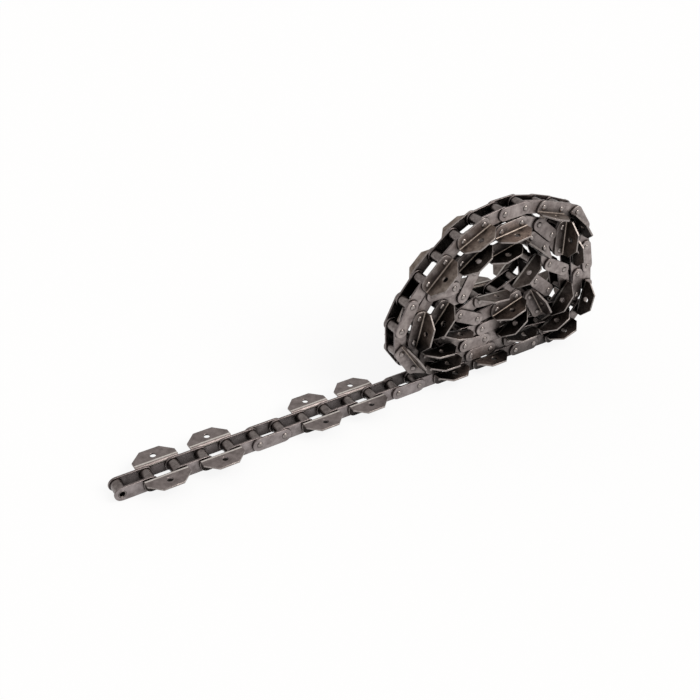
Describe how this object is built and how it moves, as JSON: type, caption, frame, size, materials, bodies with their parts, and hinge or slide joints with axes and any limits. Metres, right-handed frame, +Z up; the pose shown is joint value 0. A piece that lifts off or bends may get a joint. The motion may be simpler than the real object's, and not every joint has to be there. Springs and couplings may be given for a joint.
{
  "type": "roller conveyor chain",
  "caption": "Steel roller chain with bent bolt-on attachment tabs on most outer plates, a straight hinged strand running into a loose coil.",
  "frame": {"origin": "centre of the bush bore at the chain's free end, midway between its side plates", "axes": "+X along the straight strand towards the coil, +Y across the chain along the pins, +Z up"},
  "size_m": [0.8792, 0.0894, 0.2919],
  "materials": {
    "plate_steel": "blackened, lightly oiled pressed plate",
    "pin_steel": "hardened, dark, ends riveted",
    "roller_steel": "dark oiled tube"
  },
  "bodies": {
    "coil": {"inner_link_13": "plate_steel", "end_pin": "pin_steel", "first_wrap_inner_plates": "plate_steel", "first_wrap_plain_plates": "plate_steel", "first_wrap_attachment_plates": "plate_steel", "first_wrap_rollers": "roller_steel", "second_wrap_inner_plates": "plate_steel", "second_wrap_plain_plates": "plate_steel", "second_wrap_attachment_plates": "plate_steel", "second_wrap_rollers": "roller_steel", "core_inner_plates": "plate_steel", "core_plain_plates": "plate_steel", "core_attachment_plates": "plate_steel", "core_rollers": "roller_steel"},
    "link_12_body": {"plain_plates_12": "plate_steel", "pins_12": "pin_steel"},
    "link_11_body": {"inner_link_11": "plate_steel"},
    "link_10_body": {"attachment_plates_10": "plate_steel", "pins_10": "pin_steel"},
    "link_09_body": {"inner_link_09": "plate_steel"},
    "link_08_body": {"attachment_plates_08": "plate_steel", "pins_08": "pin_steel"},
    "link_07_body": {"inner_link_07": "plate_steel"},
    "link_06_body": {"plain_plates_06": "plate_steel", "pins_06": "pin_steel"},
    "link_05_body": {"inner_link_05": "plate_steel"},
    "link_04_body": {"attachment_plates_04": "plate_steel", "pins_04": "pin_steel"},
    "link_03_body": {"inner_link_03": "plate_steel"},
    "link_02_body": {"attachment_plates_02": "plate_steel", "pins_02": "pin_steel"},
    "link_01_body": {"inner_link_01": "plate_steel"},
    "roller_00_body": {"roller_00": "roller_steel"},
    "roller_01_body": {"roller_01": "roller_steel"},
    "roller_02_body": {"roller_02": "roller_steel"},
    "roller_03_body": {"roller_03": "roller_steel"},
    "roller_04_body": {"roller_04": "roller_steel"},
    "roller_05_body": {"roller_05": "roller_steel"},
    "roller_06_body": {"roller_06": "roller_steel"},
    "roller_07_body": {"roller_07": "roller_steel"},
    "roller_08_body": {"roller_08": "roller_steel"},
    "roller_09_body": {"roller_09": "roller_steel"},
    "roller_10_body": {"roller_10": "roller_steel"},
    "roller_11_body": {"roller_11": "roller_steel"},
    "roller_12_body": {"roller_12": "roller_steel"},
    "roller_13_body": {"roller_13": "roller_steel"}
  },
  "joints": [
    {"name": "pin_12_hinge", "type": "hinge", "parent": "coil", "child": "link_12_body", "pos_m": [0.4968, 0, 0], "axis": [0, 1, 0], "range_deg": [-90, 35]},
    {"name": "pin_11_hinge", "type": "hinge", "parent": "link_12_body", "child": "link_11_body", "pos_m": [0.4554, 0, 0], "axis": [0, -1, 0], "range_deg": [-70, 90]},
    {"name": "pin_10_hinge", "type": "hinge", "parent": "link_11_body", "child": "link_10_body", "pos_m": [0.414, 0, 0], "axis": [0, 1, 0], "range_deg": [-90, 90]},
    {"name": "pin_09_hinge", "type": "hinge", "parent": "link_10_body", "child": "link_09_body", "pos_m": [0.3726, 0, 0], "axis": [0, -1, 0], "range_deg": [-90, 90]},
    {"name": "pin_08_hinge", "type": "hinge", "parent": "link_09_body", "child": "link_08_body", "pos_m": [0.3312, 0, 0], "axis": [0, 1, 0], "range_deg": [-90, 90]},
    {"name": "pin_07_hinge", "type": "hinge", "parent": "link_08_body", "child": "link_07_body", "pos_m": [0.2898, 0, 0], "axis": [0, -1, 0], "range_deg": [-90, 90]},
    {"name": "pin_06_hinge", "type": "hinge", "parent": "link_07_body", "child": "link_06_body", "pos_m": [0.2484, 0, 0], "axis": [0, 1, 0], "range_deg": [-90, 90]},
    {"name": "pin_05_hinge", "type": "hinge", "parent": "link_06_body", "child": "link_05_body", "pos_m": [0.207, 0, 0], "axis": [0, -1, 0], "range_deg": [-90, 90]},
    {"name": "pin_04_hinge", "type": "hinge", "parent": "link_05_body", "child": "link_04_body", "pos_m": [0.1656, 0, 0], "axis": [0, 1, 0], "range_deg": [-90, 90]},
    {"name": "pin_03_hinge", "type": "hinge", "parent": "link_04_body", "child": "link_03_body", "pos_m": [0.1242, 0, 0], "axis": [0, -1, 0], "range_deg": [-90, 90]},
    {"name": "pin_02_hinge", "type": "hinge", "parent": "link_03_body", "child": "link_02_body", "pos_m": [0.0828, 0, 0], "axis": [0, 1, 0], "range_deg": [-90, 90]},
    {"name": "pin_01_hinge", "type": "hinge", "parent": "link_02_body", "child": "link_01_body", "pos_m": [0.0414, 0, 0], "axis": [0, -1, 0], "range_deg": [-90, 90]},
    {"name": "roller_00_spin", "type": "hinge", "parent": "link_01_body", "child": "roller_00_body", "pos_m": [0, 0, 0], "axis": [0, 1, 0], "continuous": true},
    {"name": "roller_01_spin", "type": "hinge", "parent": "link_01_body", "child": "roller_01_body", "pos_m": [0.0414, 0, 0], "axis": [0, 1, 0], "continuous": true},
    {"name": "roller_02_spin", "type": "hinge", "parent": "link_03_body", "child": "roller_02_body", "pos_m": [0.0828, 0, 0], "axis": [0, 1, 0], "continuous": true},
    {"name": "roller_03_spin", "type": "hinge", "parent": "link_03_body", "child": "roller_03_body", "pos_m": [0.1242, 0, 0], "axis": [0, 1, 0], "continuous": true},
    {"name": "roller_04_spin", "type": "hinge", "parent": "link_05_body", "child": "roller_04_body", "pos_m": [0.1656, 0, 0], "axis": [0, 1, 0], "continuous": true},
    {"name": "roller_05_spin", "type": "hinge", "parent": "link_05_body", "child": "roller_05_body", "pos_m": [0.207, 0, 0], "axis": [0, 1, 0], "continuous": true},
    {"name": "roller_06_spin", "type": "hinge", "parent": "link_07_body", "child": "roller_06_body", "pos_m": [0.2484, 0, 0], "axis": [0, 1, 0], "continuous": true},
    {"name": "roller_07_spin", "type": "hinge", "parent": "link_07_body", "child": "roller_07_body", "pos_m": [0.2898, 0, 0], "axis": [0, 1, 0], "continuous": true},
    {"name": "roller_08_spin", "type": "hinge", "parent": "link_09_body", "child": "roller_08_body", "pos_m": [0.3312, 0, 0], "axis": [0, 1, 0], "continuous": true},
    {"name": "roller_09_spin", "type": "hinge", "parent": "link_09_body", "child": "roller_09_body", "pos_m": [0.3726, 0, 0], "axis": [0, 1, 0], "continuous": true},
    {"name": "roller_10_spin", "type": "hinge", "parent": "link_11_body", "child": "roller_10_body", "pos_m": [0.414, 0, 0], "axis": [0, 1, 0], "continuous": true},
    {"name": "roller_11_spin", "type": "hinge", "parent": "link_11_body", "child": "roller_11_body", "pos_m": [0.4554, 0, 0], "axis": [0, 1, 0], "continuous": true},
    {"name": "roller_12_spin", "type": "hinge", "parent": "coil", "child": "roller_12_body", "pos_m": [0.4968, 0, 0], "axis": [0, 1, 0], "continuous": true},
    {"name": "roller_13_spin", "type": "hinge", "parent": "coil", "child": "roller_13_body", "pos_m": [0.5382, 0, 0], "axis": [0, 1, 0], "continuous": true}
  ]
}
